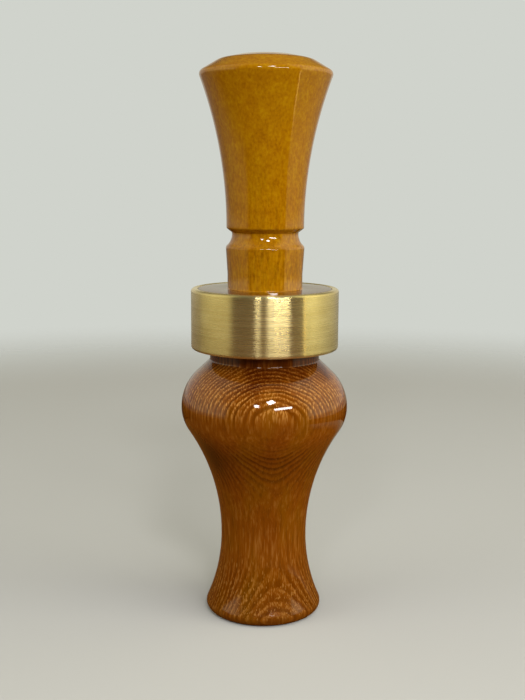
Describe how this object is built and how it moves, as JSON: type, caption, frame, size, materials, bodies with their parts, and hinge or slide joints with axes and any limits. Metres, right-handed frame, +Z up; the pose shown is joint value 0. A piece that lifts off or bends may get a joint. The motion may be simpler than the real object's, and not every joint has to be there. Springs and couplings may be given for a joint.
{
  "type": "bird call",
  "caption": "Turned wooden bird call: a waisted barrel with a metal band and a flared insert that plugs in, carrying a tone board with flexing reeds, a wedge and seal rings.",
  "frame": {"origin": "centre of the mouth face at the foot, on the surface that the call stands on", "axes": "+Z up the bore to the exhaust end; -Y is the side that the reeds face"},
  "size_m": [0.0397, 0.0396, 0.1324],
  "materials": {
    "barrel_wood": "high-gloss lacquer over dark ringed wood",
    "insert_wood": "high-gloss lacquer over golden figured wood",
    "band_brass": "satin, with fine lathe lines",
    "tone_board_acrylic": "polished acrylic",
    "reed_film": "frosted polyester film",
    "wedge_cork": "natural cork",
    "ring_rubber": "matte"
  },
  "bodies": {
    "barrel": {"barrel": "barrel_wood", "band": "band_brass"},
    "seal_rings": {"seal_ring_lower": "ring_rubber", "seal_ring_upper": "ring_rubber"},
    "insert": {"insert_body": "insert_wood", "tone_board": "tone_board_acrylic", "lower_reed_root": "reed_film", "upper_reed_root": "reed_film"},
    "lower_reed": {"lower_reed_tongue": "reed_film"},
    "upper_reed": {"upper_reed_tongue": "reed_film"},
    "wedge": {"wedge": "wedge_cork"}
  },
  "joints": [
    {"name": "insert_pull", "type": "slide", "parent": "barrel", "child": "seal_rings", "axis": [0, 0, 1], "range_m": [0, 0.056]},
    {"name": "insert_twist", "type": "hinge", "parent": "seal_rings", "child": "insert", "pos_m": [0, 0, 0.0737], "axis": [0, 0, 1], "continuous": true},
    {"name": "lower_reed_bend", "type": "hinge", "parent": "insert", "child": "lower_reed", "pos_m": [0, -0.00246, 0.0566], "axis": [1, 0, 0], "range_deg": [0, 1.7], "stiffness_Nm_per_rad": 0.008},
    {"name": "upper_reed_bend", "type": "hinge", "parent": "insert", "child": "upper_reed", "pos_m": [0, -0.00246, 0.0566], "axis": [1, 0, 0], "range_deg": [0, 1.7], "stiffness_Nm_per_rad": 0.01},
    {"name": "wedge_pull", "type": "slide", "parent": "insert", "child": "wedge", "axis": [0, 0, -1], "range_m": [0, 0.01]}
  ],
  "couplings": [
    {"joint": "upper_reed_bend", "follows": "lower_reed_bend", "ratio": 1}
  ]
}
